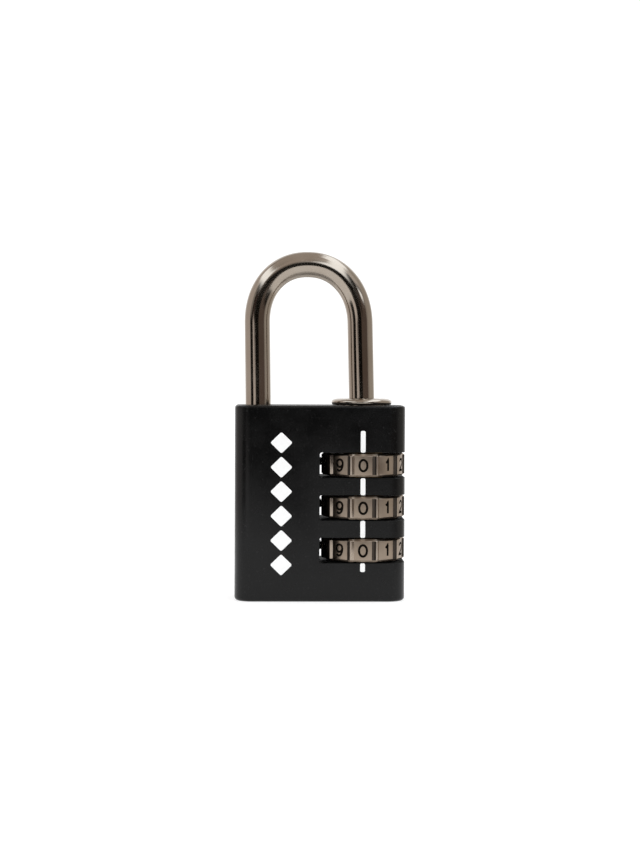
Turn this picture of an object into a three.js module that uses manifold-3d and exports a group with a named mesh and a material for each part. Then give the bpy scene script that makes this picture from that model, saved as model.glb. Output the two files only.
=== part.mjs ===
// Small three-dial combination luggage padlock, in millimetres.
// +Z points up, the numbers at the index line face -Y, and the dial side of the case is at +X.
// The origin is the centre of the case's flat bottom face.

import * as THREE from 'three';
import { mergeVertices } from 'three/addons/utils/BufferGeometryUtils.js';
import Module from 'manifold-3d';

const wasm = await Module();
wasm.setup();

// ---------------------------------------------------------------------------------------------
// Driving dimensions
// ---------------------------------------------------------------------------------------------

const CASE_WIDTH = 30.16;
const CASE_DEPTH = 13;
const CASE_HEIGHT = 34.55;
const CASE_SIDE_RADIUS = 3.1;
const CASE_RIM_RADIUS = 0.5;

const ROD_DIAMETER = 4.56;
const LEG_SPACING = 18.5;
const LOOP_CLEARANCE = 22.79;
const LOOP_RISE = 10.65;
const LOOP_SQUARENESS = 2.15;
const LOOP_LEAN = THREE.MathUtils.degToRad(1.15);
const LOOP_PINCH = 0.07;
const TOE_ENGAGEMENT = 4.2;
const TOE_HOLE_SPARE_DEPTH = 0.4;
const TOE_HOLE_POINT_DEPTH = 1.2;

// The detent springs push the dials and their sleeves a little to the right of the bore's axis,
// and the dials stand turned just enough for their numbers to face the index line.
const LEG_AXIS_X = 7.5;
const DIAL_SHIFT = 0.3;
const DIAL_TURN = THREE.MathUtils.degToRad(2.2);
const DIAL_COUNT = 3;
const DIAL_PITCH = 7.5;
const LOWEST_DIAL_HEIGHT = 9.1;
const DIAL_RADIUS = 7.45;
const DIAL_THICKNESS = 4.0;
const DIGITS = 10;

const SLOT_HEIGHT = 4.5;
const SLOT_END_X = -0.1;
const RUNNING_GAP = 0.3;

// Heights measured from the middle of each dial. The fin waits under the gate of its sleeve, and
// the sleeve's teeth sit in the splined upper part of the dial.
const SLEEVE_HALF_LENGTH = 3.6;
const GATE_BOTTOM = 1.6;
const GATE_TOP = 3.2;
const FIN_BOTTOM = -1.8;
const FIN_TOP = -0.2;
const TEETH_BOTTOM = -0.2;
const TEETH_TOP = 0.7;
const SPLINE_BOTTOM = -0.3;

const BORE_RADIUS = 4.5;
const SPLINE_ROOT_RADIUS = 4.5;
const SPLINE_TIP_RADIUS = 3.9;
const SLEEVE_RADIUS = 3.6;
const TEETH_RADIUS = 4.25;
const TEETH_ROOT_RADIUS = 2.8;
const TEETH_WIDTH = 0.8;
const SPLINE_WIDTH = 1.3;
const FREE_BORE_RADIUS = 2.85;
const CORE_RADIUS = 1.4;
const GATE_BORE_RADIUS = 1.9;
const FIN_WIDTH = 1.4;
const KEYWAY_WIDTH = 1.9;
const RESET_POCKET_DEPTH = 0.6;

const COLLAR_FLANGE_RADIUS = 5.4;
const COLLAR_FLANGE_THICKNESS = 1.25;
const COLLAR_TUBE_RADIUS = 4.2;
const COLLAR_BORE_RADIUS = 2.6;
const COLLAR_SEAT_GAP = 0.1;
const COLLAR_UNDERCUT_HEIGHT = 0.5;
const COLLAR_UNDERCUT_WIDTH = 0.35;
const COLLAR_DOME_WIDTH = 1.3;
const COLLAR_DOME_STEPS = 4;

const PLUG_RADIUS = 4.2;
const PLUG_BOTTOM = 0.2;
const PLUG_TOP = 1.5;
const WASHER_THICKNESS = 0.45;
const WASHER_HOLE_RADIUS = 2.95;
const SPRING_WIRE_DIAMETER = 0.5;
const SPRING_TURNS = 2.5;
const SPRING_MEAN_RADIUS = 3.5;
const CLIP_TOP = 4.4;
const CLIP_THICKNESS = 0.8;
const CLIP_OUTER_RADIUS = 2.35;
const CLIP_CLEARANCE = 0.15;
const CLIP_MOUTH_HALF_WIDTH = 0.9;
const GROOVE_RADIUS = 1.0;
const CORE_END = 2.75;

const DETENT_STRIP_HEIGHT = 1.3;
const DETENT_STRIP_THICKNESS = 0.3;
const DETENT_RISE = 0.46;

const ROUND_SEGMENTS = 40;
const FINE_SEGMENTS = 32;
const DIAL_SEGMENTS = 80;
const SHACKLE_STEPS = 44;
const LEG_STEPS = 4;

// ---------------------------------------------------------------------------------------------
// Derived places
// ---------------------------------------------------------------------------------------------

const ROD_RADIUS = ROD_DIAMETER / 2;
const TOE_AXIS_X = LEG_AXIS_X - LEG_SPACING;
const LOOP_CENTRE_X = (LEG_AXIS_X + TOE_AXIS_X) / 2;
const LOOP_CROWN_HEIGHT = CASE_HEIGHT + LOOP_CLEARANCE + ROD_RADIUS;
const LOOP_SPRING_HEIGHT = LOOP_CROWN_HEIGHT - LOOP_RISE;
const LEAN_START = CASE_HEIGHT + COLLAR_FLANGE_THICKNESS;
const TOE_HOLE_RADIUS = ROD_RADIUS + RUNNING_GAP;
const TOE_END = CASE_HEIGHT - TOE_ENGAGEMENT;
const TOP_DIAL_HEIGHT = LOWEST_DIAL_HEIGHT + DIAL_PITCH * (DIAL_COUNT - 1);
const SLEEVE_STACK_TOP = TOP_DIAL_HEIGHT + SLEEVE_HALF_LENGTH;
const SLEEVE_STACK_BOTTOM = LOWEST_DIAL_HEIGHT - SLEEVE_HALF_LENGTH;
const CORE_TOP = SLEEVE_STACK_TOP + RUNNING_GAP;
const COLLAR_BOTTOM = SLEEVE_STACK_TOP + RUNNING_GAP;
const WASHER_TOP = SLEEVE_STACK_BOTTOM - RUNNING_GAP;
const FIN_DIRECTION = Math.PI;

const dialHeights = Array.from(
  { length: DIAL_COUNT },
  (_, row) => TOP_DIAL_HEIGHT - row * DIAL_PITCH,
);

// ---------------------------------------------------------------------------------------------
// Finishes
// ---------------------------------------------------------------------------------------------

const finishes = {
  blackCase: { color: 0x1c1c1d, roughness: 0.5, metalness: 0.3 },
  satinNickel: { color: 0xb5a796, roughness: 0.28, metalness: 1.0 },
  dialNickel: { color: 0xa8998a, roughness: 0.38, metalness: 1.0 },
  sleeveBrass: { color: 0xb08d4c, roughness: 0.35, metalness: 1.0 },
  springSteel: { color: 0x3a3a3c, roughness: 0.35, metalness: 1.0 },
  plainSteel: { color: 0x9a9a98, roughness: 0.4, metalness: 1.0 },
};

function finish(name) {
  return new THREE.MeshStandardMaterial({ name, ...finishes[name] });
}

// ---------------------------------------------------------------------------------------------
// Solids: three.js geometry in, boolean cuts and joins, three.js geometry out
// ---------------------------------------------------------------------------------------------

function solidFrom(geometry) {
  const bare = geometry.clone();
  bare.deleteAttribute('normal');
  bare.deleteAttribute('uv');
  const merged = mergeVertices(bare, 1e-4);
  const mesh = new wasm.Mesh({
    numProp: 3,
    vertProperties: new Float32Array(merged.attributes.position.array),
    triVerts: new Uint32Array(merged.index.array),
  });
  return new wasm.Manifold(mesh);
}

function geometryFrom(solid) {
  const mesh = solid.getMesh();
  const geometry = new THREE.BufferGeometry();
  geometry.setAttribute('position', new THREE.BufferAttribute(mesh.vertProperties, 3));
  geometry.setIndex(new THREE.BufferAttribute(mesh.triVerts, 1));
  geometry.computeVertexNormals();
  return geometry;
}

function join(first, ...others) {
  return others.reduce((whole, next) => whole.add(next), first);
}

function cut(first, ...others) {
  return others.reduce((whole, next) => whole.subtract(next), first);
}

function meshOf(name, solid, finishName) {
  const mesh = new THREE.Mesh(geometryFrom(solid), finish(finishName));
  mesh.name = name;
  return mesh;
}

// A solid of revolution about +Z from [radius, height] pairs that start and end on the axis.
function turned(profile, segments = ROUND_SEGMENTS) {
  const points = profile.map(([radius, height]) => new THREE.Vector2(radius, height));
  const geometry = new THREE.LatheGeometry(points, segments);
  geometry.rotateX(Math.PI / 2);
  return solidFrom(geometry);
}

function cylinder(radius, bottom, top, segments = ROUND_SEGMENTS) {
  return turned([[0, bottom], [radius, bottom], [radius, top], [0, top]], segments);
}

function box(low, high) {
  const size = low.map((value, axis) => high[axis] - value);
  const geometry = new THREE.BoxGeometry(...size);
  geometry.translate(...low.map((value, axis) => value + size[axis] / 2));
  return solidFrom(geometry);
}

// An outline in the XY plane raised from one height to another.
function raised(shape, bottom, top, bevel = 0, curveSegments = 6) {
  const geometry = new THREE.ExtrudeGeometry(shape, {
    depth: top - bottom - 2 * bevel,
    bevelEnabled: bevel > 0,
    bevelThickness: bevel,
    bevelSize: bevel,
    bevelOffset: -bevel,
    bevelSegments: 2,
    curveSegments,
  });
  geometry.translate(0, 0, bottom + bevel);
  return solidFrom(geometry);
}

function roundedRectangle(left, bottom, right, top, radius) {
  const shape = new THREE.Shape();
  const quarter = Math.PI / 2;
  shape.absarc(right - radius, bottom + radius, radius, -quarter, 0);
  shape.absarc(right - radius, top - radius, radius, 0, quarter);
  shape.absarc(left + radius, top - radius, radius, quarter, 2 * quarter);
  shape.absarc(left + radius, bottom + radius, radius, 2 * quarter, 3 * quarter);
  shape.closePath();
  return shape;
}

// Blocks set evenly round the Z axis, reaching from one radius to another.
function spokes(count, innerRadius, outerRadius, width, bottom, top, firstAngle) {
  const blocks = [];
  for (let index = 0; index < count; index += 1) {
    const angle = firstAngle + (index * 2 * Math.PI) / count;
    const block = new THREE.BoxGeometry(outerRadius - innerRadius, width, top - bottom);
    block.translate((outerRadius + innerRadius) / 2, 0, (top + bottom) / 2);
    block.rotateZ(angle);
    blocks.push(solidFrom(block));
  }
  return blocks;
}

// ---------------------------------------------------------------------------------------------
// Case: one block, with three slots open to the front, the right and the back
// ---------------------------------------------------------------------------------------------

const DETENT_POCKET_BACK_X = -3.4;
const DETENT_POCKET_HALF_WIDTH = 4.6;

function dialSlot(height) {
  const beyond = 2;
  const endRadius = 0.4;
  const shape = roundedRectangle(
    SLOT_END_X,
    height - SLOT_HEIGHT / 2,
    CASE_WIDTH / 2 + beyond,
    height + SLOT_HEIGHT / 2,
    endRadius,
  );
  const geometry = new THREE.ExtrudeGeometry(shape, {
    depth: CASE_DEPTH + 2 * beyond,
    bevelEnabled: false,
    curveSegments: 4,
  });
  geometry.rotateX(Math.PI / 2);
  geometry.translate(0, CASE_DEPTH / 2 + beyond, 0);
  return solidFrom(geometry);
}

function detentPocket(height) {
  const halfHeight = SLOT_HEIGHT / 2 - RUNNING_GAP;
  return box(
    [DETENT_POCKET_BACK_X, -DETENT_POCKET_HALF_WIDTH, height - halfHeight],
    [SLOT_END_X + 1, DETENT_POCKET_HALF_WIDTH, height + halfHeight],
  );
}

function makeCase() {
  const outline = roundedRectangle(
    -CASE_WIDTH / 2,
    -CASE_DEPTH / 2,
    CASE_WIDTH / 2,
    CASE_DEPTH / 2,
    CASE_SIDE_RADIUS,
  );
  const block = raised(outline, 0, CASE_HEIGHT, CASE_RIM_RADIUS);
  const beyond = 1;
  const mainBore = cylinder(BORE_RADIUS, -beyond, CASE_HEIGHT + beyond);
  const toeHole = turned([
    [0, TOE_END - TOE_HOLE_POINT_DEPTH],
    [TOE_HOLE_RADIUS, TOE_END - TOE_HOLE_SPARE_DEPTH],
    [TOE_HOLE_RADIUS, CASE_HEIGHT + beyond],
    [0, CASE_HEIGHT + beyond],
  ]);
  return cut(
    block,
    mainBore.translate(LEG_AXIS_X, 0, 0),
    toeHole.translate(TOE_AXIS_X, 0, 0),
    ...dialHeights.map(dialSlot),
    ...dialHeights.map(detentPocket),
  );
}

// ---------------------------------------------------------------------------------------------
// Shackle: a bent rod whose long leg is turned down to a core that carries one fin per dial
// ---------------------------------------------------------------------------------------------

// The rod's centre line, from the toe's end over the loop to the shoulder above the sleeves. The
// loop is half a superellipse, a little squarer than an ellipse. Above the collar the legs lean a
// degree towards the toe side and close in slightly, as a bent rod's do.
class ShacklePath extends THREE.Curve {
  // The steps are shared out by part, because the straight legs need few and the loop many.
  getUtoTmapping(share) {
    return share;
  }

  getPoint(t, target = new THREE.Vector3()) {
    const legShare = LEG_STEPS / SHACKLE_STEPS;
    const angle = Math.PI * (1 - THREE.MathUtils.clamp((t - legShare) / (1 - 2 * legShare), 0, 1));
    const power = 2 / LOOP_SQUARENESS;
    const across = Math.sign(Math.cos(angle)) * Math.abs(Math.cos(angle)) ** power;
    const up = Math.abs(Math.sin(angle)) ** power;
    target.set(LOOP_CENTRE_X + (LEG_SPACING / 2) * across, 0, LOOP_SPRING_HEIGHT + LOOP_RISE * up);
    if (t < legShare) {
      target.z = legHeight(TOE_END, t / legShare);
    }
    if (t > 1 - legShare) {
      target.z = legHeight(CORE_TOP, (1 - t) / legShare);
    }
    const rise = Math.max(target.z - LEAN_START, 0);
    const pinch = LOOP_PINCH * Math.min(rise / (LOOP_SPRING_HEIGHT - LEAN_START), 1);
    target.x -= Math.tan(LOOP_LEAN) * rise + (pinch * (target.x - LOOP_CENTRE_X)) / (LEG_SPACING / 2);
    return target;
  }
}

// The first step of a leg is the part in the case, which stays upright. The rest is above it.
function legHeight(end, share) {
  const inside = 1 / LEG_STEPS;
  if (share <= inside) {
    return THREE.MathUtils.lerp(end, LEAN_START, share / inside);
  }
  return THREE.MathUtils.lerp(LEAN_START, LOOP_SPRING_HEIGHT, (share - inside) / (1 - inside));
}

function rodSection() {
  const shape = new THREE.Shape();
  shape.absarc(0, 0, ROD_RADIUS, 0, 2 * Math.PI);
  return shape;
}

function makeShackle() {
  const rod = solidFrom(
    new THREE.ExtrudeGeometry(rodSection(), {
      steps: SHACKLE_STEPS,
      curveSegments: 10,
      extrudePath: new ShacklePath(),
    }),
  );
  const endChamfer = 0.3;
  const overlap = 0.5;
  const grooveBottom = CLIP_TOP - CLIP_THICKNESS - CLIP_CLEARANCE;
  const grooveTop = CLIP_TOP + CLIP_CLEARANCE;
  const core = turned([
    [0, CORE_END],
    [CORE_RADIUS - endChamfer, CORE_END],
    [CORE_RADIUS, CORE_END + endChamfer],
    [CORE_RADIUS, grooveBottom],
    [GROOVE_RADIUS, grooveBottom],
    [GROOVE_RADIUS, grooveTop],
    [CORE_RADIUS, grooveTop],
    [CORE_RADIUS, CORE_TOP + overlap],
    [0, CORE_TOP + overlap],
  ], FINE_SEGMENTS);
  const finReach = ROD_RADIUS;
  const fins = dialHeights.flatMap((height) => spokes(
    1,
    0,
    finReach,
    FIN_WIDTH,
    height + FIN_BOTTOM,
    height + FIN_TOP,
    FIN_DIRECTION,
  ));
  return join(rod, ...[core, ...fins].map((piece) => piece.translate(LEG_AXIS_X, 0, 0)));
}

// ---------------------------------------------------------------------------------------------
// Collar: the flanged bushing that guides the long leg and stops the sleeves from rising
// ---------------------------------------------------------------------------------------------

function makeCollar() {
  const beyond = 1;
  const flangeBottom = CASE_HEIGHT + COLLAR_SEAT_GAP;
  const flangeTop = CASE_HEIGHT + COLLAR_FLANGE_THICKNESS;
  const widest = flangeBottom + COLLAR_UNDERCUT_HEIGHT;
  const dome = [];
  for (let step = 0; step <= COLLAR_DOME_STEPS; step += 1) {
    const angle = (Math.PI / 2) * (step / COLLAR_DOME_STEPS);
    dome.push([
      COLLAR_FLANGE_RADIUS - COLLAR_DOME_WIDTH * (1 - Math.cos(angle)),
      widest + (flangeTop - widest) * Math.sin(angle),
    ]);
  }
  const body = turned([
    [0, COLLAR_BOTTOM],
    [COLLAR_TUBE_RADIUS, COLLAR_BOTTOM],
    [COLLAR_TUBE_RADIUS, flangeBottom],
    [COLLAR_FLANGE_RADIUS - COLLAR_UNDERCUT_WIDTH, flangeBottom],
    ...dome,
    [0, flangeTop],
  ]);
  return cut(body, cylinder(COLLAR_BORE_RADIUS, COLLAR_BOTTOM - beyond, flangeTop + beyond));
}

// ---------------------------------------------------------------------------------------------
// Dial: a ring with ten shallow number panels, splined inside its upper part
// ---------------------------------------------------------------------------------------------

const PANEL_DEPTH = 0.36;
const DIAL_RIM_HEIGHT = 0.3;
const DIAL_RIM_WIDTH = 0.6;
const RIB_HALF_ANGLE = THREE.MathUtils.degToRad(2.3);
const FLANK_ANGLE = THREE.MathUtils.degToRad(3);

function dialOutline() {
  const shape = new THREE.Shape();
  const step = (2 * Math.PI) / DIGITS;
  const panelRadius = DIAL_RADIUS - PANEL_DEPTH;
  const panelPoints = 4;
  for (let digit = 0; digit < DIGITS; digit += 1) {
    const ribAngle = (digit + 0.5) * step - Math.PI / 2 - DIAL_TURN;
    const corners = [
      [DIAL_RADIUS, ribAngle - RIB_HALF_ANGLE],
      [DIAL_RADIUS, ribAngle + RIB_HALF_ANGLE],
    ];
    const panelStart = ribAngle + RIB_HALF_ANGLE + FLANK_ANGLE;
    const panelEnd = ribAngle + step - RIB_HALF_ANGLE - FLANK_ANGLE;
    for (let point = 0; point <= panelPoints; point += 1) {
      const angle = THREE.MathUtils.lerp(panelStart, panelEnd, point / panelPoints);
      corners.push([panelRadius, angle]);
    }
    corners.forEach(([radius, angle], index) => {
      const x = radius * Math.cos(angle);
      const y = radius * Math.sin(angle);
      if (digit === 0 && index === 0) {
        shape.moveTo(x, y);
      } else {
        shape.lineTo(x, y);
      }
    });
  }
  shape.closePath();
  return shape;
}

function makeDial() {
  const half = DIAL_THICKNESS / 2;
  const beyond = 0.5;
  const disc = turned([
    [0, -half],
    [DIAL_RADIUS - DIAL_RIM_WIDTH, -half],
    [DIAL_RADIUS, -half + DIAL_RIM_HEIGHT],
    [DIAL_RADIUS, half - DIAL_RIM_HEIGHT],
    [DIAL_RADIUS - DIAL_RIM_WIDTH, half],
    [0, half],
  ], DIAL_SEGMENTS);
  const panels = cut(
    cylinder(DIAL_RADIUS + beyond, -half - beyond, half + beyond, DIAL_SEGMENTS),
    raised(dialOutline(), -half - 2 * beyond, half + 2 * beyond),
  );
  return cut(
    disc,
    panels,
    cylinder(SPLINE_TIP_RADIUS, -half - beyond, half + beyond),
    cylinder(SPLINE_ROOT_RADIUS, -half - beyond, SPLINE_BOTTOM),
    ...spokes(
      DIGITS,
      SPLINE_TIP_RADIUS - beyond,
      SPLINE_ROOT_RADIUS,
      SPLINE_WIDTH,
      SPLINE_BOTTOM - RUNNING_GAP / 3,
      half + beyond,
      0,
    ),
  );
}

// ---------------------------------------------------------------------------------------------
// Code sleeve: toothed outside to turn with its dial, gated inside to hold or pass a fin
// ---------------------------------------------------------------------------------------------

function makeSleeve() {
  const ends = SLEEVE_HALF_LENGTH;
  const beyond = 0.5;
  const body = join(
    cylinder(SLEEVE_RADIUS, -ends, ends),
    ...spokes(DIGITS, TEETH_ROOT_RADIUS, TEETH_RADIUS, TEETH_WIDTH, TEETH_BOTTOM, TEETH_TOP, 0),
  );
  const keyway = spokes(
    1,
    0,
    FREE_BORE_RADIUS,
    KEYWAY_WIDTH,
    GATE_BOTTOM - beyond,
    GATE_TOP + beyond,
    FIN_DIRECTION,
  );
  const resetPocket = spokes(
    1,
    0,
    FREE_BORE_RADIUS,
    KEYWAY_WIDTH,
    GATE_TOP - RESET_POCKET_DEPTH,
    GATE_TOP + beyond,
    FIN_DIRECTION + Math.PI / 2,
  );
  return cut(
    body,
    cylinder(GATE_BORE_RADIUS, -ends - beyond, ends + beyond, FINE_SEGMENTS),
    cylinder(FREE_BORE_RADIUS, -ends - beyond, GATE_BOTTOM, FINE_SEGMENTS),
    cylinder(FREE_BORE_RADIUS, GATE_TOP, ends + beyond, FINE_SEGMENTS),
    ...keyway,
    ...resetPocket,
  );
}

// ---------------------------------------------------------------------------------------------
// Detent spring: a bowed strip behind each dial, dished in the middle to straddle a rib
// ---------------------------------------------------------------------------------------------

function makeDetentSpring() {
  const middle = new THREE.SplineCurve([
    new THREE.Vector2(-2.9, -4.1),
    new THREE.Vector2(-1.2, -3.5),
    new THREE.Vector2(0.1, -1.7),
    new THREE.Vector2(0.05, 0),
    new THREE.Vector2(0.1, 1.7),
    new THREE.Vector2(-1.2, 3.5),
    new THREE.Vector2(-2.9, 4.1),
  ]);
  const stations = 24;
  const half = DETENT_STRIP_THICKNESS / 2;
  const frontSide = [];
  const backSide = [];
  for (let index = 0; index <= stations; index += 1) {
    const point = middle.getPointAt(index / stations);
    const tangent = middle.getTangentAt(index / stations);
    const normal = new THREE.Vector2(tangent.y, -tangent.x).multiplyScalar(half);
    frontSide.push(point.clone().add(normal));
    backSide.unshift(point.clone().sub(normal));
  }
  const strip = new THREE.Shape([...frontSide, ...backSide]);
  const halfHeight = DETENT_STRIP_HEIGHT / 2;
  return raised(strip, DETENT_RISE - halfHeight, DETENT_RISE + halfHeight);
}

// ---------------------------------------------------------------------------------------------
// Parts under the sleeves
// ---------------------------------------------------------------------------------------------

function makeThrustWasher() {
  const bottom = WASHER_TOP - WASHER_THICKNESS;
  const beyond = 1;
  const hole = cylinder(WASHER_HOLE_RADIUS, bottom - beyond, WASHER_TOP + beyond, FINE_SEGMENTS);
  return cut(cylinder(PLUG_RADIUS, bottom, WASHER_TOP), hole);
}

class CoilCurve extends THREE.Curve {
  constructor(radius, bottom, top, turns) {
    super();
    Object.assign(this, { radius, bottom, top, turns });
  }

  getPoint(t, target = new THREE.Vector3()) {
    const angle = t * this.turns * 2 * Math.PI;
    return target.set(
      this.radius * Math.cos(angle),
      this.radius * Math.sin(angle),
      THREE.MathUtils.lerp(this.bottom, this.top, t),
    );
  }
}

function makeResetSpring() {
  const wire = new THREE.Shape();
  wire.absarc(0, 0, SPRING_WIRE_DIAMETER / 2, 0, 2 * Math.PI);
  const seat = RUNNING_GAP / 2 + SPRING_WIRE_DIAMETER / 2;
  const washerBottom = WASHER_TOP - WASHER_THICKNESS;
  const coil = new CoilCurve(
    SPRING_MEAN_RADIUS,
    PLUG_TOP + seat,
    washerBottom - seat,
    SPRING_TURNS,
  );
  return solidFrom(
    new THREE.ExtrudeGeometry(wire, { steps: 44, curveSegments: 4, extrudePath: coil }),
  );
}

function makeRetainingClip() {
  const bottom = CLIP_TOP - CLIP_THICKNESS;
  const ring = cylinder(CLIP_OUTER_RADIUS, bottom, CLIP_TOP, FINE_SEGMENTS);
  const beyond = 1;
  const hole = cylinder(
    GROOVE_RADIUS + CLIP_CLEARANCE,
    bottom - beyond,
    CLIP_TOP + beyond,
    FINE_SEGMENTS,
  );
  const mouth = box(
    [0, -CLIP_MOUTH_HALF_WIDTH, bottom - beyond],
    [CLIP_OUTER_RADIUS + beyond, CLIP_MOUTH_HALF_WIDTH, CLIP_TOP + beyond],
  );
  return cut(ring, hole, mouth);
}

function makeBottomPlug() {
  const wall = 0.9;
  const floor = 0.6;
  const edge = 0.25;
  return turned([
    [0, PLUG_BOTTOM],
    [PLUG_RADIUS - edge, PLUG_BOTTOM],
    [PLUG_RADIUS, PLUG_BOTTOM + edge],
    [PLUG_RADIUS, PLUG_TOP],
    [PLUG_RADIUS - wall - edge, PLUG_TOP],
    [PLUG_RADIUS - wall - 2 * edge, PLUG_BOTTOM + floor],
    [0, PLUG_BOTTOM + floor],
  ]);
}

// ---------------------------------------------------------------------------------------------
// Assembly
// ---------------------------------------------------------------------------------------------

const padlock = new THREE.Group();
padlock.add(meshOf('case_body', makeCase(), 'blackCase'));
padlock.add(meshOf('shackle', makeShackle(), 'satinNickel'));

const dialColumn = new THREE.Group();
dialColumn.position.set(LEG_AXIS_X, 0, 0);
dialColumn.add(meshOf('leg_collar', makeCollar(), 'satinNickel'));
dialColumn.add(meshOf('thrust_washer', makeThrustWasher(), 'plainSteel'));
dialColumn.add(meshOf('reset_spring', makeResetSpring(), 'springSteel'));
dialColumn.add(meshOf('retaining_clip', makeRetainingClip(), 'springSteel'));
dialColumn.add(meshOf('bottom_plug', makeBottomPlug(), 'blackCase'));
padlock.add(dialColumn);

dialHeights.forEach((height, row) => {
  const number = row + 1;
  const dial = meshOf(`dial_ring_${number}`, makeDial(), 'dialNickel');
  const sleeve = meshOf(`code_sleeve_${number}`, makeSleeve(), 'sleeveBrass');
  const detent = meshOf(`detent_spring_${number}`, makeDetentSpring(), 'springSteel');
  dial.position.set(DIAL_SHIFT, 0, height);
  sleeve.position.set(DIAL_SHIFT, 0, height);
  detent.position.z = height;
  dialColumn.add(dial, sleeve);
  padlock.add(detent);
});

export default padlock;
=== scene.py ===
"""Looks of the three-dial luggage padlock: fine meshes, finishes, studio and camera.

Sizes are millimetres unless a name ends in _m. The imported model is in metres, in the same frame:
+Z up, the numbers at the index line face -Y, and the dial side of the case is at +X.
"""

import math

import bmesh
import bpy
from mathutils import Matrix, Vector


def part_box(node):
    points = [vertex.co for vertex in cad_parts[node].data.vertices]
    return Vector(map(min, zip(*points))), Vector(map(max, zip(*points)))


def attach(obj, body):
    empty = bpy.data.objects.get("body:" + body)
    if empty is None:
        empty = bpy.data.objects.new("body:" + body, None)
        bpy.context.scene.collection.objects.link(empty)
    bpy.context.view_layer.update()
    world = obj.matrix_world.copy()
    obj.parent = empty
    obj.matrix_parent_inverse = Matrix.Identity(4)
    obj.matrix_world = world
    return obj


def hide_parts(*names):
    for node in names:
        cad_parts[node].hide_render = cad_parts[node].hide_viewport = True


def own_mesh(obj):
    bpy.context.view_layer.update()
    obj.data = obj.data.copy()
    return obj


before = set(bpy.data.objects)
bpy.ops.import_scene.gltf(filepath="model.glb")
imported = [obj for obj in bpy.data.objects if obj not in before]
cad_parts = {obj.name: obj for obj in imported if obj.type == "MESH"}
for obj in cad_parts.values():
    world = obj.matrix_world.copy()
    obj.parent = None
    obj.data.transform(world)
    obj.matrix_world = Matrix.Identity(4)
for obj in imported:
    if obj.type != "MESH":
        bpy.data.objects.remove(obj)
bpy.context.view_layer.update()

MM = 0.001
TAU = 2 * math.pi

# ---------------------------------------------------------------------------------------------
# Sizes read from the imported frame, and the finer sizes that the looks add
# ---------------------------------------------------------------------------------------------

DIALS = (1, 2, 3)
DIGITS = 10
DIAL_TURN = math.radians(2.2)


def node_box(node):
    """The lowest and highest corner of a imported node, in millimetres."""
    low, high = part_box(node)
    return low / MM, high / MM


CASE_LOW, CASE_HIGH = node_box("case_body")
SHACKLE_LOW, SHACKLE_HIGH = node_box("shackle")
COLLAR_LOW, COLLAR_HIGH = node_box("leg_collar")
DIAL_BOXES = {number: node_box(f"dial_ring_{number}") for number in DIALS}

AXIS_X = (COLLAR_LOW.x + COLLAR_HIGH.x) / 2
DIAL_X = (DIAL_BOXES[1][0].x + DIAL_BOXES[1][1].x) / 2
DIAL_SKIN = 0.01
DIAL_RADIUS = (DIAL_BOXES[1][1].x - DIAL_BOXES[1][0].x) / 2 - DIAL_SKIN
DIAL_HALF = (DIAL_BOXES[1][1].z - DIAL_BOXES[1][0].z) / 2
DIAL_Z = {number: (low.z + high.z) / 2 for number, (low, high) in DIAL_BOXES.items()}

CASE_SIDE_RADIUS = 3.1
CASE_TOP_RIM = 0.4
CASE_BOTTOM_RIM = 0.65
SLOT_HALF = 2.25
SLOT_END_X = -0.1
SLOT_END_RADIUS = 0.4
BORE_RADIUS = 4.5
TOE_HOLE_RADIUS = 2.58

ROD_RADIUS = (SHACKLE_HIGH.y - SHACKLE_LOW.y) / 2
LEG_SPACING = 18.5
LOOP_RISE = 10.65
LOOP_SQUARENESS = 2.15
LOOP_LEAN = math.radians(1.15)
LOOP_PINCH = 0.07
TOE_X = AXIS_X - LEG_SPACING
TOE_ENGAGEMENT = 4.2
TOE_END = CASE_HIGH.z - TOE_ENGAGEMENT
TOE_ROUND = 0.6
CORE_TOP = COLLAR_LOW.z
CORE_RADIUS = 1.4
GROOVE_RADIUS = 1.0
GROOVE_PLAY = 0.15
FIN_WIDTH = 1.4
FIN_TOP_DROP = 0.2
FIN_BOTTOM_DROP = 1.8

PANEL_DEPTH = 0.36
RIM_HEIGHT = 0.34
RIM_WIDTH = 0.46
RIB_HALF_ANGLE = math.radians(2.3)
FLANK_ANGLE = math.radians(2.9)
DIAL_BORE_RADIUS = 4.15

# ---------------------------------------------------------------------------------------------
# Mesh helpers
# ---------------------------------------------------------------------------------------------


def link(name, mesh):
    piece = bpy.data.objects.new(name, mesh)
    bpy.context.scene.collection.objects.link(piece)
    return piece


def mesh_piece(name, points, faces, smooth=True):
    """A piece from points in millimetres and faces as lists of point numbers."""
    mesh = bpy.data.meshes.new(name)
    mesh.from_pydata([Vector(point) * MM for point in points], [], faces)
    mesh.update()
    mesh.polygons.foreach_set("use_smooth", [smooth] * len(mesh.polygons))
    return link(name, mesh)


def tidy_normals(piece):
    """Joins points that coincide, and turns the faces outwards."""
    work = bmesh.new()
    work.from_mesh(piece.data)
    bmesh.ops.remove_doubles(work, verts=work.verts, dist=1e-7)
    bmesh.ops.recalc_face_normals(work, faces=work.faces)
    work.to_mesh(piece.data)
    work.free()
    return piece


def ring_faces(rings, count, closed=True):
    """Quads between neighbouring rings of count points each."""
    faces = []
    last = count if closed else count - 1
    for ring in range(rings - 1):
        for index in range(last):
            after = (index + 1) % count
            low = ring * count
            high = low + count
            faces.append([low + index, low + after, high + after, high + index])
    return faces


def tube_faces(rings, count):
    """The wall of a tube, and a cap at each of its ends."""
    faces = ring_faces(rings, count)
    faces.append(list(range(count)))
    faces.append(list(range(rings * count - 1, (rings - 1) * count - 1, -1)))
    return faces


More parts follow.
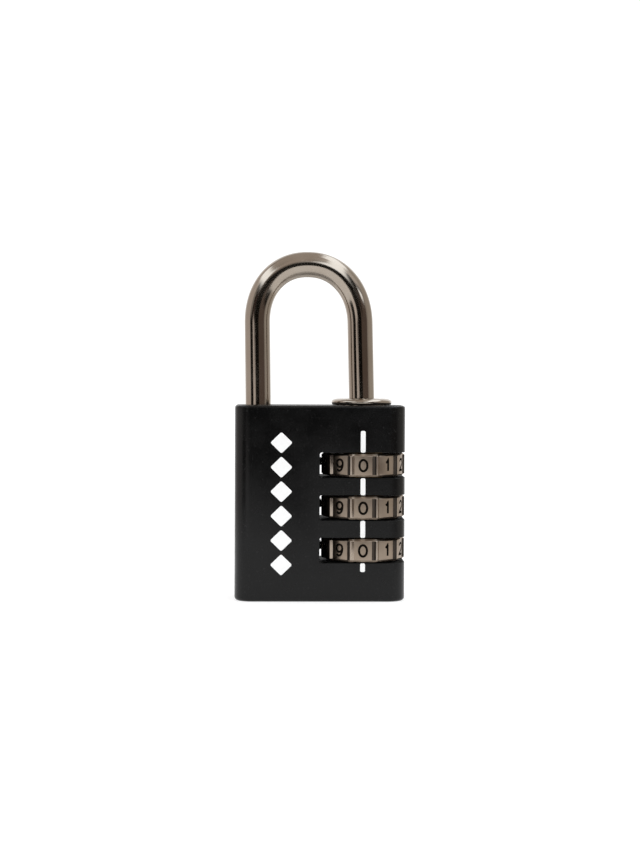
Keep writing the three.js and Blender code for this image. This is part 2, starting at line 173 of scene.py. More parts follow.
def lathe(name, profile, centre_x, segments):
    """A solid of revolution about an upright axis. The profile is a closed loop of (radius, z)."""
    points = []
    for radius, z in list(profile) + [profile[0]]:
        for index in range(segments):
            angle = TAU * index / segments
            points.append((centre_x + radius * math.cos(angle), radius * math.sin(angle), z))
    piece = mesh_piece(name, points, ring_faces(len(profile) + 1, segments))
    return tidy_normals(piece)


def prism(name, outline, low, high, axis="Z"):
    """An outline of (u, v) points pushed from low to high along Z, or along Y with axis="Y"."""
    place = {
        "Z": lambda u, v, along: (u, v, along),
        "Y": lambda u, v, along: (u, along, v),
    }[axis]
    points = [place(u, v, along) for along in (low, high) for u, v in outline]
    faces = tube_faces(2, len(outline))
    return tidy_normals(mesh_piece(name, points, faces, smooth=False))


def arc(centre, radius, start, end, steps):
    """Points on an arc, from start to end in radians."""
    points = []
    for step in range(steps + 1):
        angle = start + (end - start) * step / steps
        points.append((centre[0] + radius * math.cos(angle), centre[1] + radius * math.sin(angle)))
    return points


def rounded_rectangle(low, high, radius, steps=12):
    """An outline anticlockwise from its lower right corner, with the same radius at all four."""
    quarter = math.pi / 2
    corners = (
        ((high[0] - radius, low[1] + radius), -quarter),
        ((high[0] - radius, high[1] - radius), 0),
        ((low[0] + radius, high[1] - radius), quarter),
        ((low[0] + radius, low[1] + radius), math.pi),
    )
    points = []
    for centre, start in corners:
        points.extend(arc(centre, radius, start, start + quarter, steps))
    return points


def cut(piece, *cutters):
    """Cuts the cutters out of the piece, and removes them."""
    for cutter in cutters:
        modifier = piece.modifiers.new("cut", "BOOLEAN")
        modifier.operation = "DIFFERENCE"
        modifier.solver = "EXACT"
        modifier.object = cutter
        apply_modifiers(piece)
        bpy.data.objects.remove(cutter)


def apply_modifiers(piece):
    """Makes what the modifiers give the piece's own mesh."""
    graph = bpy.context.evaluated_depsgraph_get()
    made = bpy.data.meshes.new_from_object(piece.evaluated_get(graph))
    piece.modifiers.clear()
    old = piece.data
    piece.data = made
    bpy.data.meshes.remove(old)


def soften(piece, width, segments=3, angle=35):
    """Rounds the sharp edges, and shades the flat faces flat and the rounds smooth."""
    bevel = piece.modifiers.new("soften", "BEVEL")
    bevel.width = width * MM
    bevel.segments = segments
    bevel.limit_method = "ANGLE"
    bevel.angle_limit = math.radians(angle)
    bevel.harden_normals = True
    piece.data.polygons.foreach_set("use_smooth", [True] * len(piece.data.polygons))


# ---------------------------------------------------------------------------------------------
# Material helpers
# ---------------------------------------------------------------------------------------------


class Finish:
    """A node material round one Principled shader, with short ways to add its detail."""

    def __init__(self, name):
        self.material = bpy.data.materials.new(name)
        self.material.use_nodes = True
        self.tree = self.material.node_tree
        self.shader = self.tree.nodes["Principled BSDF"]
        coordinates = self.node("ShaderNodeTexCoord")
        self.place = coordinates.outputs["Object"]
        self.facing = coordinates.outputs["Normal"]

    def node(self, kind, **settings):
        made = self.tree.nodes.new(kind)
        for name, value in settings.items():
            setattr(made, name, value)
        return made

    def link(self, source, target):
        self.tree.links.new(source, target)

    def stretched(self, x, y, z):
        """The object's own coordinates, with each axis scaled."""
        mapping = self.node("ShaderNodeMapping")
        mapping.inputs["Scale"].default_value = (x, y, z)
        self.link(self.place, mapping.inputs["Vector"])
        return mapping.outputs["Vector"]

    def upright(self, vector):
        """How far up a vector reaches."""
        parts = self.node("ShaderNodeSeparateXYZ")
        self.link(vector, parts.inputs[0])
        return parts.outputs["Z"]

    def noise(self, scale, detail=4.0, place=None):
        made = self.node("ShaderNodeTexNoise")
        made.inputs["Scale"].default_value = scale
        made.inputs["Detail"].default_value = detail
        made.inputs["Roughness"].default_value = 0.55
        self.link(place or self.place, made.inputs["Vector"])
        return made.outputs["Fac"]

    def range(self, source, low, high, to_low, to_high):
        """Goes smoothly from to_low to to_high as the source goes from low to high."""
        made = self.node("ShaderNodeMapRange")
        made.interpolation_type = "SMOOTHSTEP"
        for name, value in (
            ("From Min", low), ("From Max", high), ("To Min", to_low), ("To Max", to_high),
        ):
            made.inputs[name].default_value = value
        self.link(source, made.inputs["Value"])
        return made.outputs["Result"]

    def spread(self, noise, to_low, to_high):
        """Noise, which is mostly between 0.3 and 0.7, spread over the values given."""
        return self.range(noise, 0.3, 0.7, to_low, to_high)

    def math(self, operation, first, second):
        """A Math node. Each value is a number or another node's output."""
        made = self.node("ShaderNodeMath", operation=operation)
        for socket, value in zip(made.inputs, (first, second)):
            if isinstance(value, (int, float)):
                socket.default_value = value
            else:
                self.link(value, socket)
        return made.outputs["Value"]

    def mix(self, amount, first, second):
        """The first colour where the amount is 0, and the second where it is 1."""
        made = self.node("ShaderNodeMix", data_type="RGBA")
        sockets = (made.inputs[0], made.inputs[6], made.inputs[7])
        for socket, value in zip(sockets, (amount, first, second)):
            if isinstance(value, tuple):
                socket.default_value = (*value, 1.0)
            else:
                self.link(value, socket)
        return made.outputs[2]

    def colour(self, source):
        self.link(source, self.shader.inputs["Base Color"])

    def rough(self, source):
        self.link(source, self.shader.inputs["Roughness"])

    def bump(self, *layers):
        """Each layer is (height source, depth in millimetres)."""
        normal = None
        for height, depth in layers:
            made = self.node("ShaderNodeBump")
            made.inputs["Strength"].default_value = 1.0
            made.inputs["Distance"].default_value = depth * MM
            self.link(height, made.inputs["Height"])
            if normal is not None:
                self.link(normal, made.inputs["Normal"])
            normal = made.outputs["Normal"]
        self.link(normal, self.shader.inputs["Normal"])


def paint_on(piece, material):
    """Gives a piece this one material."""
    piece.data.materials.clear()
    piece.data.materials.append(material)


# ---------------------------------------------------------------------------------------------
# Finishes
# ---------------------------------------------------------------------------------------------


def black_coating(name, specular, rough):
    """Satin black coating: fine grain, faint clouding, and a few rubbed, paler specks."""
    finish = Finish(name)
    grain = finish.noise(6500, detail=3)
    cloud = finish.noise(260, detail=5)
    specks = finish.range(finish.noise(2300, detail=2), 0.62, 0.72, 0.0, 0.5)
    base = finish.mix(cloud, (0.0015, 0.0015, 0.0016), (0.0035, 0.0034, 0.0033))
    finish.colour(finish.mix(specks, base, (0.02, 0.0195, 0.019)))
    finish.shader.inputs["Specular IOR Level"].default_value = specular
    finish.rough(finish.spread(cloud, *rough))
    finish.bump((cloud, 0.004), (grain, 0.004))
    return finish.material


def satin_nickel(name, base, pale, rough, grain_depth, stretch):
    """Warm nickel plate: polishing lines along one direction, faint tarnish and small scuffs.

    It is a little duller round the shackle's bend, and more so on undersides.
    """
    bend_start_m, bend_full_m = 0.048, 0.058
    finish = Finish(name)
    finish.shader.inputs["Metallic"].default_value = 1.0
    lines = finish.noise(1400, detail=5, place=finish.stretched(*stretch))
    tarnish = finish.noise(170, detail=6)
    scuffs = finish.range(finish.noise(900, detail=4), 0.66, 0.74, 0.0, 1.0)
    body = finish.mix(finish.spread(tarnish, 0.0, 1.0), base, pale)
    finish.colour(finish.mix(finish.math("MULTIPLY", scuffs, 0.25), body, (0.25, 0.2, 0.16)))
    even = finish.spread(tarnish, *rough)
    bend = finish.range(finish.upright(finish.place), bend_start_m, bend_full_m, 0.0, 0.05)
    underside = finish.range(finish.upright(finish.facing), -0.7, -0.45, 0.25, 0.0)
    dulled = finish.math("ADD", bend, underside)
    dulled = finish.math("ADD", dulled, finish.math("MULTIPLY", scuffs, 0.12))
    finish.rough(finish.math("ADD", even, dulled))
    finish.bump((lines, grain_depth), (finish.noise(5200, detail=2), grain_depth * 0.5))
    return finish.material


def plain_metal(name, dark, light, rough):
    """Turned or stamped metal inside the case, with fine tool marks round the dial axis."""
    finish = Finish(name)
    finish.shader.inputs["Metallic"].default_value = 1.0
    marks = finish.noise(1500, detail=4, place=finish.stretched(0.3, 0.3, 6.0))
    stain = finish.noise(420, detail=5)
    finish.colour(finish.mix(finish.spread(stain, 0.0, 1.0), dark, light))
    finish.rough(finish.spread(stain, rough, rough + 0.15))
    finish.bump((marks, 0.006))
    return finish.material


def printed_paint(name, base, second, rough, specular=0.5):
    """Printed or filled paint: slightly uneven, with a fine matte surface."""
    finish = Finish(name)
    mottle = finish.noise(2600, detail=4)
    finish.colour(finish.mix(mottle, base, second))
    finish.rough(finish.spread(mottle, rough, rough + 0.15))
    finish.shader.inputs["Specular IOR Level"].default_value = specular
    finish.bump((finish.noise(7000, detail=2), 0.004))
    return finish.material


BLACK = black_coating("black_coating", specular=0.25, rough=(0.2, 0.28))
BLACK_INSIDE = black_coating("black_coating_inside", specular=0.1, rough=(0.6, 0.7))
BLACK_TOP = black_coating("black_coating_top", specular=0.15, rough=(0.4, 0.5))
ROD_NICKEL = satin_nickel(
    "rod_nickel",
    base=(0.355, 0.303, 0.252),
    pale=(0.39, 0.34, 0.288),
    rough=(0.09, 0.14),
    grain_depth=0.0008,
    stretch=(1, 1, 0.05),
)
DIAL_NICKEL = satin_nickel(
    "dial_nickel",
    base=(0.325, 0.258, 0.2),
    pale=(0.37, 0.302, 0.238),
    rough=(0.3, 0.4),
    grain_depth=0.007,
    stretch=(1, 1, 1),
)
# Paler, smoother copies of the dial nickel for the right half of each rib: a painted highlight.
FLANK_HIGHLIGHT_NICKEL = satin_nickel(
    "dial_flank_highlight_nickel",
    base=(0.35, 0.29, 0.235),
    pale=(0.385, 0.325, 0.27),
    rough=(0.14, 0.2),
    grain_depth=0.002,
    stretch=(1, 1, 0.1),
)
LAND_HIGHLIGHT_NICKEL = satin_nickel(
    "dial_land_highlight_nickel",
    base=(0.4, 0.332, 0.27),
    pale=(0.45, 0.38, 0.315),
    rough=(0.28, 0.36),
    grain_depth=0.004,
    stretch=(1, 1, 0.1),
)
BRASS = plain_metal("sleeve_brass", (0.45, 0.3, 0.11), (0.62, 0.45, 0.2), rough=0.28)
SPRING_STEEL = plain_metal("spring_steel", (0.05, 0.05, 0.055), (0.1, 0.1, 0.11), rough=0.3)
PLAIN_STEEL = plain_metal("plain_steel", (0.32, 0.32, 0.31), (0.5, 0.5, 0.48), rough=0.3)
WHITE_PAINT = printed_paint("white_paint", (0.86, 0.86, 0.85), (0.93, 0.93, 0.92), rough=0.4)
NUMERAL_FILL = printed_paint(
    "numeral_fill", (0.002, 0.0015, 0.001), (0.006, 0.005, 0.004), rough=0.6, specular=0.0
)
# Dark browns for the left half of each rib: painted shade, darkest on the land.
RIB_PAINTED_SHADE = printed_paint(
    "dial_rib_painted_shade", (0.028, 0.021, 0.016), (0.05, 0.039, 0.03), rough=0.6, specular=0.2
)
RIB_PAINTED_DEEP_SHADE = printed_paint(
    "dial_rib_painted_deep_shade", (0.006, 0.004, 0.003), (0.015, 0.011, 0.008), rough=0.5, specular=0.1
)


# ---------------------------------------------------------------------------------------------
# Case
# ---------------------------------------------------------------------------------------------


def rim_rings(low, high, top_rim, bottom_rim, steps=6):
    """(inset, height) pairs up the side of a block whose top and bottom edges are rounded."""
    quarter = math.pi / 2
    rings = []
    for step in range(steps + 1):
        angle = quarter * step / steps
        rings.append((bottom_rim * (1 - math.sin(angle)), low + bottom_rim * (1 - math.cos(angle))))
    for step in range(steps + 1):
        angle = quarter * step / steps
        rings.append((top_rim * (1 - math.cos(angle)), high - top_rim * (1 - math.sin(angle))))
    return rings


def make_case_block():
    """The solid block before anything is cut out of it."""
    outline_steps = 20
    points = []
    rings = rim_rings(CASE_LOW.z, CASE_HIGH.z, CASE_TOP_RIM, CASE_BOTTOM_RIM)
    for inset, height in rings:
        outline = rounded_rectangle(
            (CASE_LOW.x + inset, CASE_LOW.y + inset),
            (CASE_HIGH.x - inset, CASE_HIGH.y - inset),
            CASE_SIDE_RADIUS - inset,
            outline_steps,
        )
        points.extend((x, y, height) for x, y in outline)
    count = 4 * (outline_steps + 1)
    faces = ring_faces(len(rings), count)
    faces.append(list(range(count - 1, -1, -1)))
    faces.append(list(range((len(rings) - 1) * count, len(rings) * count)))
    return tidy_normals(mesh_piece("case_block", points, faces))


def round_cutter(radius, low, high, centre_x):
    """An upright cylinder that cuts a bore."""
    segments = 96
    outline = arc((centre_x, 0), radius, 0, TAU * (1 - 1 / segments), segments - 1)
    return prism("cutter", outline, low, high)


def slot_cutter(z):
    """A dial's slot, open to the front, the right side and the back."""
    beyond = 3
    outline = rounded_rectangle(
        (SLOT_END_X, z - SLOT_HALF),
        (CASE_HIGH.x + beyond, z + SLOT_HALF),
        SLOT_END_RADIUS,
    )
    return prism("cutter", outline, CASE_LOW.y - beyond, CASE_HIGH.y + beyond, axis="Y")


def pocket_cutter(z):
    """Room for a detent spring behind the end of a slot."""
    half_height = SLOT_HALF - 0.3
    half_depth = 4.6
    pocket_end_x = -3.4
    low = (pocket_end_x, z - half_height)
    high = (SLOT_END_X + 1, z + half_height)
    outline = [low, (high[0], low[1]), high, (low[0], high[1])]
    return prism("cutter", outline, -half_depth, half_depth, axis="Y")


def is_inside_slot(point):
    """Whether a point of the case's surface is on the walls of a dial slot."""
    margin = 0.02
    half_depth = CASE_HIGH.y - margin
    in_slot = any(abs(point.z - DIAL_Z[number]) < SLOT_HALF + margin for number in DIALS)
    return in_slot and point.x > SLOT_END_X - margin and abs(point.y) < half_depth


def make_case():
    """The block with its bore, its toe hole, and a slot and a spring pocket for each dial."""
    beyond = 2
    toe_hole_floor = TOE_END - 0.5
    block = make_case_block()
    cutters = [
        round_cutter(BORE_RADIUS, CASE_LOW.z - beyond, CASE_HIGH.z + beyond, AXIS_X),
        round_cutter(TOE_HOLE_RADIUS, toe_hole_floor, CASE_HIGH.z + beyond, TOE_X),
    ]
    for number in DIALS:
        cutters.append(slot_cutter(DIAL_Z[number]))
        cutters.append(pocket_cutter(DIAL_Z[number]))
    cut(block, *cutters)
    soften(block, 0.12)
    paint_on(block, BLACK)
    block.data.materials.append(BLACK_INSIDE)
    block.data.materials.append(BLACK_TOP)
    inside, top = 1, 2
    top_face = CASE_HIGH.z - 0.02
    faces_up = 0.9
    for polygon in block.data.polygons:
        if is_inside_slot(polygon.center / MM):
            polygon.material_index = inside
        elif polygon.center.z / MM > top_face and polygon.normal.z > faces_up:
            polygon.material_index = top
    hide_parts("case_body")
    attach(block, "case")


# ---------------------------------------------------------------------------------------------
# Printed marks on the front: the index line and a plain column of lozenges
# ---------------------------------------------------------------------------------------------

PRINT_DEPTH = 0.02
INDEX_TOP = 30.17
INDEX_BOTTOM = 5.32
INDEX_HALF_WIDTH = 0.43
INDEX_CORNER = 0.28


def printed_mark(name, outline):
    """A thin white shape on the front face."""
    front = CASE_LOW.y
    mark = prism(name, outline, front - PRINT_DEPTH, front + PRINT_DEPTH, axis="Y")
    paint_on(mark, WHITE_PAINT)
    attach(mark, "case")


def make_index_line():
    """One upright line, broken where the dial slots cross it."""
    tops = [INDEX_TOP] + [DIAL_Z[number] - SLOT_HALF for number in DIALS]
    bottoms = [DIAL_Z[number] + SLOT_HALF for number in DIALS] + [INDEX_BOTTOM]
    for index, (top, bottom) in enumerate(zip(tops, bottoms)):
        outline = rounded_rectangle(
            (AXIS_X - INDEX_HALF_WIDTH, bottom),
            (AXIS_X + INDEX_HALF_WIDTH, top),
            INDEX_CORNER,
            6,
        )
        printed_mark(f"index_line_{index + 1}", outline)


def make_lozenges():
    """A plain column of lozenges, left of the dials."""
    count = 6
    centre_x = -6.85
    top = 30.2
    bottom = 4.4
    pitch = (top - bottom) / count
    half_width = 1.95
    half_height = pitch / 2 - 0.25
    corner = 0.35
    for index in range(count):
        z = top - pitch * (index + 0.5)
        outline = lozenge(centre_x, z, half_width, half_height, corner)
        printed_mark(f"front_lozenge_{index + 1}", outline)


def lozenge(x, z, half_width, half_height, corner):
    """A lozenge whose four corners are rounded."""
    tips = [(half_width, 0), (0, half_height), (-half_width, 0), (0, -half_height)]
    steps = 6
    points = []
    for index, tip in enumerate(tips):
        before = Vector(tips[index - 1]) - Vector(tip)
        after = Vector(tips[(index + 1) % len(tips)]) - Vector(tip)
        start = Vector(tip) + before.normalized() * corner
        end = Vector(tip) + after.normalized() * corner
        for step in range(steps + 1):
            share = step / steps
            bend = start.lerp(Vector(tip), share).lerp(Vector(tip).lerp(end, share), share)
            points.append((x + bend.x, z + bend.y))
    return points


# ---------------------------------------------------------------------------------------------
# Shackle
# ---------------------------------------------------------------------------------------------


def shackle_path():
    """Centre points of the rod, from the toe's end over the loop to the shoulder."""
    crown = SHACKLE_HIGH.z - ROD_RADIUS
    spring_z = crown - LOOP_RISE
    lean_start = COLLAR_HIGH.z
    centre_x = (AXIS_X + TOE_X) / 2
    leg_steps = 24
    loop_steps = 160
    path = []
    for step in range(leg_steps):
        path.append((TOE_X, TOE_END + (spring_z - TOE_END) * step / leg_steps))
    power = 2 / LOOP_SQUARENESS
    for step in range(loop_steps + 1):
        angle = math.pi * (1 - step / loop_steps)
        across = math.copysign(abs(math.cos(angle)) ** power, math.cos(angle))
        up = abs(math.sin(angle)) ** power
        path.append((centre_x + LEG_SPACING / 2 * across, spring_z + LOOP_RISE * up))
    for step in range(1, leg_steps + 1):
        path.append((AXIS_X, spring_z + (CORE_TOP - spring_z) * step / leg_steps))
    leaned = []
    for x, z in path:
        rise = max(z - lean_start, 0)
        pinch = LOOP_PINCH * min(rise / (spring_z - lean_start), 1)
        side = (x - centre_x) / (LEG_SPACING / 2)
        leaned.append((x - math.tan(LOOP_LEAN) * rise - pinch * side, z))
    return leaned


def rod_sections():
    """(centre, direction, radius) of each cross-section, starting with the rounded toe end."""
    path = [Vector((x, 0, z)) for x, z in shackle_path()]
    toe_steps = 6
    up = Vector((0, 0, 1))
    sections = []
    for step in range(toe_steps + 1):
        angle = math.pi / 2 * step / toe_steps
        rise = TOE_ROUND * (1 - math.cos(angle))
        radius = ROD_RADIUS - TOE_ROUND * (1 - math.sin(angle))
        sections.append((path[0] + up * rise, up, radius))
    last = len(path) - 1
    for index in range(1, last + 1):
        direction = path[min(index + 1, last)] - path[index - 1]
        sections.append((path[index], direction.normalized(), ROD_RADIUS))
    return sections


def make_rod():
    """A round tube along the path, with a rounded toe end."""
    sides = 64
    sections = rod_sections()
    back = Vector((0, 1, 0))
    points = []
    for centre, direction, radius in sections:
        across = back.cross(direction)
        for side in range(sides):
            angle = TAU * side / sides
            offset = across * math.cos(angle) + back * math.sin(angle)
            points.append(tuple(centre + offset * radius))
    return mesh_piece("shackle_rod", points, tube_faces(len(sections), sides))


def make_shackle_core():
    """The turned-down end inside the case: a thin core, a groove for the clip, and three fins."""
    clip_low, clip_high = node_box("retaining_clip")
    end = SHACKLE_LOW.z
    top = CORE_TOP - 0.01
    on_axis = 0.001
    chamfer = 0.3
    fin_corner = 0.12
    core = lathe("shackle_core", [
        (on_axis, end),
        (CORE_RADIUS - chamfer, end),
        (CORE_RADIUS, end + chamfer),
        (CORE_RADIUS, clip_low.z - GROOVE_PLAY),
        (GROOVE_RADIUS, clip_low.z - GROOVE_PLAY),
        (GROOVE_RADIUS, clip_high.z + GROOVE_PLAY),
        (CORE_RADIUS, clip_high.z + GROOVE_PLAY),
        (CORE_RADIUS, top),
        (on_axis, top),
    ], AXIS_X, 64)
    soften(core, 0.05, 2)
    pieces = [core]
    for number in DIALS:
        tip = (AXIS_X - ROD_RADIUS, -FIN_WIDTH / 2)
        root = (AXIS_X - GROOVE_RADIUS, FIN_WIDTH / 2)
        outline = rounded_rectangle(tip, root, fin_corner, 4)
        low = DIAL_Z[number] - FIN_BOTTOM_DROP
        high = DIAL_Z[number] - FIN_TOP_DROP
        fin = prism(f"shackle_fin_{number}", outline, low, high)
        soften(fin, 0.1)
        pieces.append(fin)
    return pieces


def make_shackle():
    """The rod takes the CAD shackle's place, and the core and its fins come with it."""
    rod = make_rod()
    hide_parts("shackle")
    for piece in [rod] + make_shackle_core():
        paint_on(piece, ROD_NICKEL)
        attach(piece, "shackle")


# ---------------------------------------------------------------------------------------------
# Collar
# ---------------------------------------------------------------------------------------------


def make_collar():
    """A tube in the case's bore, under a domed flange that sits on the case's top."""
    low = COLLAR_LOW.z
    top = COLLAR_HIGH.z
    radius = (COLLAR_HIGH.x - COLLAR_LOW.x) / 2
    flange_bottom = CASE_HIGH.z + 0.1
    tube_radius = 4.2
    tube_chamfer = 0.1
    bore = 2.6
    lip = 0.15
    undercut_width = 0.35
    undercut_height = 0.5
    dome_width = 1.3
    widest = flange_bottom + undercut_height
    profile = [(bore, low), (tube_radius - tube_chamfer, low), (tube_radius, low + tube_chamfer)]
    profile.append((tube_radius, flange_bottom))
    steps = 12
    for step in range(steps + 1):
        angle = math.pi / 2 * step / steps
        profile.append((
            radius - undercut_width * (1 - math.sin(angle)),
            widest - undercut_height * math.cos(angle),
        ))
    for step in range(1, steps + 1):
        angle = math.pi / 2 * step / steps
        profile.append((
            radius - dome_width * (1 - math.cos(angle)),
            widest + (top - widest) * math.sin(angle),
        ))
    profile += arc((bore + lip, top - lip), lip, math.pi / 2, math.pi, 6)
    collar = lathe("collar_flange", profile, AXIS_X, 160)
    soften(collar, 0.03, 2, angle=40)
    paint_on(collar, ROD_NICKEL)
    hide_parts("leg_collar")
    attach(collar, "case")


# ---------------------------------------------------------------------------------------------
# Dials
# ---------------------------------------------------------------------------------------------

LAND_STEPS = 4
FLANK_STEPS = 4
PANEL_STEPS = 8


def dial_angles():
    """Angles round a dial, close together at the ribs, with the recess there as a share of 1."""
    step = TAU / DIGITS
    marks = []
    for digit in range(DIGITS):
        rib = (digit + 0.5) * step - math.pi / 2 - DIAL_TURN
        for index in range(LAND_STEPS):
            marks.append((rib - RIB_HALF_ANGLE + 2 * RIB_HALF_ANGLE * index / LAND_STEPS, 0.0))
        for index in range(FLANK_STEPS):
            share = index / FLANK_STEPS
            marks.append((rib + RIB_HALF_ANGLE + FLANK_ANGLE * share, eased(share)))
        start = rib + RIB_HALF_ANGLE + FLANK_ANGLE
        end = rib + step - RIB_HALF_ANGLE - FLANK_ANGLE
        for index in range(PANEL_STEPS):
            marks.append((start + (end - start) * index / PANEL_STEPS, 1.0))
        for index in range(FLANK_STEPS):
            share = index / FLANK_STEPS
            marks.append((end + FLANK_ANGLE * share, 1.0 - eased(share)))
    return marks


def eased(share):
    """A straight ramp from 0 to 1 whose two ends are a little rounded."""
    roundness = 0.3
    round_share = share * share * (3 - 2 * share)
    return (1 - roundness) * share + roundness * round_share


def dial_rows():
    """(inset from the outline, height) up the side of a dial, whose rims slope inwards."""
    half = DIAL_HALF
    slope = math.atan2(RIM_HEIGHT, RIM_WIDTH)
    blend = 0.12
    lean = math.pi / 2 - slope
    turn = blend * math.tan(lean / 2)
    rows = [(DIAL_RADIUS - DIAL_BORE_RADIUS, -half), (RIM_WIDTH, -half)]
    corner = -half + RIM_HEIGHT
    steps = 5
    for step in range(steps + 1):
        angle = lean * (1 - step / steps)
        rows.append((blend * (1 - math.cos(angle)), corner + turn - blend * math.sin(angle)))
    return rows + [(inset, -height) for inset, height in reversed(rows)]


def make_dial(number):
    """A ring with ten hollow panels between its ribs, and rims that slope inwards."""
    z = DIAL_Z[number]
    marks = dial_angles()
    rows = dial_rows()
    points = []
    for inset, height in rows:
        hollow = PANEL_DEPTH if inset <= RIM_WIDTH else 0
        for angle, depth in marks:
            reach = DIAL_RADIUS - inset - hollow * depth
            points.append((DIAL_X + reach * math.cos(angle), reach * math.sin(angle), z + height))
    count = len(marks)
    faces = ring_faces(len(rows), count)
    top = (len(rows) - 1) * count
    for index in range(count):
        after = (index + 1) % count
        faces.append([top + index, top + after, after, index])
    ring = tidy_normals(mesh_piece(f"dial_{number}_ring", points, faces))
    smooth_by_angle(ring, 28)
    paint_on(ring, DIAL_NICKEL)
    paint_ribs(ring, number)
    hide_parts(f"dial_ring_{number}")
    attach(ring, f"dial_{number}")


def paint_ribs(ring, number):
    """Painted highlight (paler, smoother nickel) on the right half of each rib and its flank, and
    painted shade on the left half.
    """
    finishes = {
        "shaded_flank": RIB_PAINTED_SHADE,
        "shaded_land": RIB_PAINTED_DEEP_SHADE,
        "highlit_land": LAND_HIGHLIGHT_NICKEL,
        "highlit_flank": FLANK_HIGHLIGHT_NICKEL,
    }
    for finish in finishes.values():
        ring.data.materials.append(finish)
    slots = {name: index + 1 for index, name in enumerate(finishes)}
    step = TAU / DIGITS
    rib_edge = RIB_HALF_ANGLE + FLANK_ANGLE
    for polygon in ring.data.polygons:
        centre = polygon.center / MM
        across = centre.x - DIAL_X
        outside = math.hypot(across, centre.y) > (DIAL_BORE_RADIUS + DIAL_RADIUS) / 2
        upright = abs(centre.z - DIAL_Z[number]) < DIAL_HALF - RIM_HEIGHT
        turn = (math.atan2(centre.y, across) + math.pi / 2 + DIAL_TURN) % step - step / 2
        if not (outside and upright) or abs(turn) > rib_edge:
            continue
        # Left of the rib's middle gets painted shade, and right of it gets a painted highlight.
        if turn < -RIB_HALF_ANGLE:
            polygon.material_index = slots["shaded_flank"]
        elif turn < 0:
            polygon.material_index = slots["shaded_land"]
        elif turn < RIB_HALF_ANGLE:
            polygon.material_index = slots["highlit_land"]
        else:
            polygon.material_index = slots["highlit_flank"]


def smooth_by_angle(piece, degrees):
    """Shades a piece smooth, but for edges sharper than this."""
    piece.data.polygons.foreach_set("use_smooth", [True] * len(piece.data.polygons))
    piece.data.set_sharp_from_angle(angle=math.radians(degrees))


NUMERAL_HEIGHT = 2.25
INK_WIDTH = 0.4
INK_LIFT = 0.008
INK_THICKNESS = 0.03
INK_STEP = 0.1


def numeral_strokes(digit):
    """A numeral's strokes: lists of (across, up) points in units of its height."""
    bowl = ellipse_stroke
    strokes = {
        0: [bowl((0, 0), 0.31, 0.44, 90, 450)],
        1: [[(-0.09, 0.2), (0.03, 0.27), (0.12, 0.44), (0.12, -0.44)]],
        2: [bowl((0, 0.17), 0.27, 0.27, 165, -30) + [(-0.29, -0.44), (0.3, -0.44)]],
        3: [bowl((-0.01, 0.2), 0.25, 0.235, 160, -85), bowl((-0.01, -0.2), 0.29, 0.24, 85, -160)],
        4: [[(0.12, -0.44), (0.12, 0.44), (-0.29, -0.18), (0.3, -0.18)]],
        5: [[(0.24, 0.43), (-0.2, 0.43), (-0.25, -0.01)] + bowl((0, -0.15), 0.29, 0.29, 140, -150)],
        6: [bowl((0, -0.15), 0.28, 0.29, 180, 540), bowl((0.04, -0.1), 0.32, 0.54, 180, 50)],
        7: [[(-0.29, 0.43), (0.29, 0.43), (0.02, 0.0), (-0.09, -0.44)]],
        8: [bowl((0, 0.21), 0.24, 0.225, 90, 450), bowl((0, -0.21), 0.29, 0.235, 90, 450)],
        9: [bowl((0, 0.15), 0.28, 0.29, 0, 360), bowl((-0.04, 0.1), 0.32, 0.54, 0, -130)],
    }
    return strokes[digit]


def ellipse_stroke(centre, across, up, start, end):
    """Part of an ellipse with half axes across and up, from start to end in degrees."""
    steps = 40
    points = []
    for step in range(steps + 1):
        angle = math.radians(start + (end - start) * step / steps)
        points.append((centre[0] + across * math.cos(angle), centre[1] + up * math.sin(angle)))
    return points


def make_numerals(number):
    """The ten numerals of a dial, as thin painted ribbons bent round its panels."""
    surface = DIAL_RADIUS - PANEL_DEPTH + INK_LIFT
    z = DIAL_Z[number]
    points = []
    faces = []
    for digit in range(DIGITS):
        middle = digit * TAU / DIGITS - math.pi / 2 - DIAL_TURN
        for stroke in numeral_strokes(digit):
            corners = [Vector(point) * NUMERAL_HEIGHT for point in stroke]
            sides = ribbon_sides(subdivided(corners, INK_STEP), INK_WIDTH / 2)
            first = len(points)
            for pair in sides:
                for across, up in pair:
                    angle = middle + across / surface
                    points.append((
                        DIAL_X + surface * math.cos(angle), surface * math.sin(angle), z + up,
                    ))
            for index in range(len(sides) - 1):
                corner = first + 2 * index
                faces.append([corner, corner + 1, corner + 3, corner + 2])
    numerals = mesh_piece(f"dial_{number}_numerals", points, faces, smooth=False)
    ink = numerals.modifiers.new("ink", "SOLIDIFY")
    ink.thickness = INK_THICKNESS * MM
    ink.offset = -1
    paint_on(numerals, NUMERAL_FILL)
    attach(numerals, f"dial_{number}")


def subdivided(path, longest):
    """The same path with no step longer than the given length."""
    points = [path[0]]
    for start, end in zip(path, path[1:]):
        steps = max(1, math.ceil((end - start).length / longest))
        points.extend(start.lerp(end, step / steps) for step in range(1, steps + 1))
    return points


def ribbon_sides(path, half_width):
    """The two edges of a ribbon of even width along a path, mitred at its corners."""
    mitre_limit = 0.5
    sides = []
    last = len(path) - 1
    closed = (path[0] - path[last]).length < 1e-6
    for index, here in enumerate(path):
        before = path[index - 1] if index > 0 else (path[last - 1] if closed else None)
        after = path[index + 1] if index < last else (path[1] if closed else None)
        incoming = (here - before).normalized() if before is not None else None
        outgoing = (after - here).normalized() if after is not None else None
        incoming = incoming or outgoing
        outgoing = outgoing or incoming
        tangent = (incoming + outgoing).normalized()
        normal = Vector((-tangent.y, tangent.x))
        spread = half_width / max(tangent.dot(incoming), mitre_limit)
        sides.append((here + normal * spread, here - normal * spread))
    return sides


# ---------------------------------------------------------------------------------------------
# Inside the case: the reset spring, and the CAD nodes that keep their own shape
# ---------------------------------------------------------------------------------------------

SPRING_WIRE_RADIUS = 0.25
SPRING_TURNS = 2.5


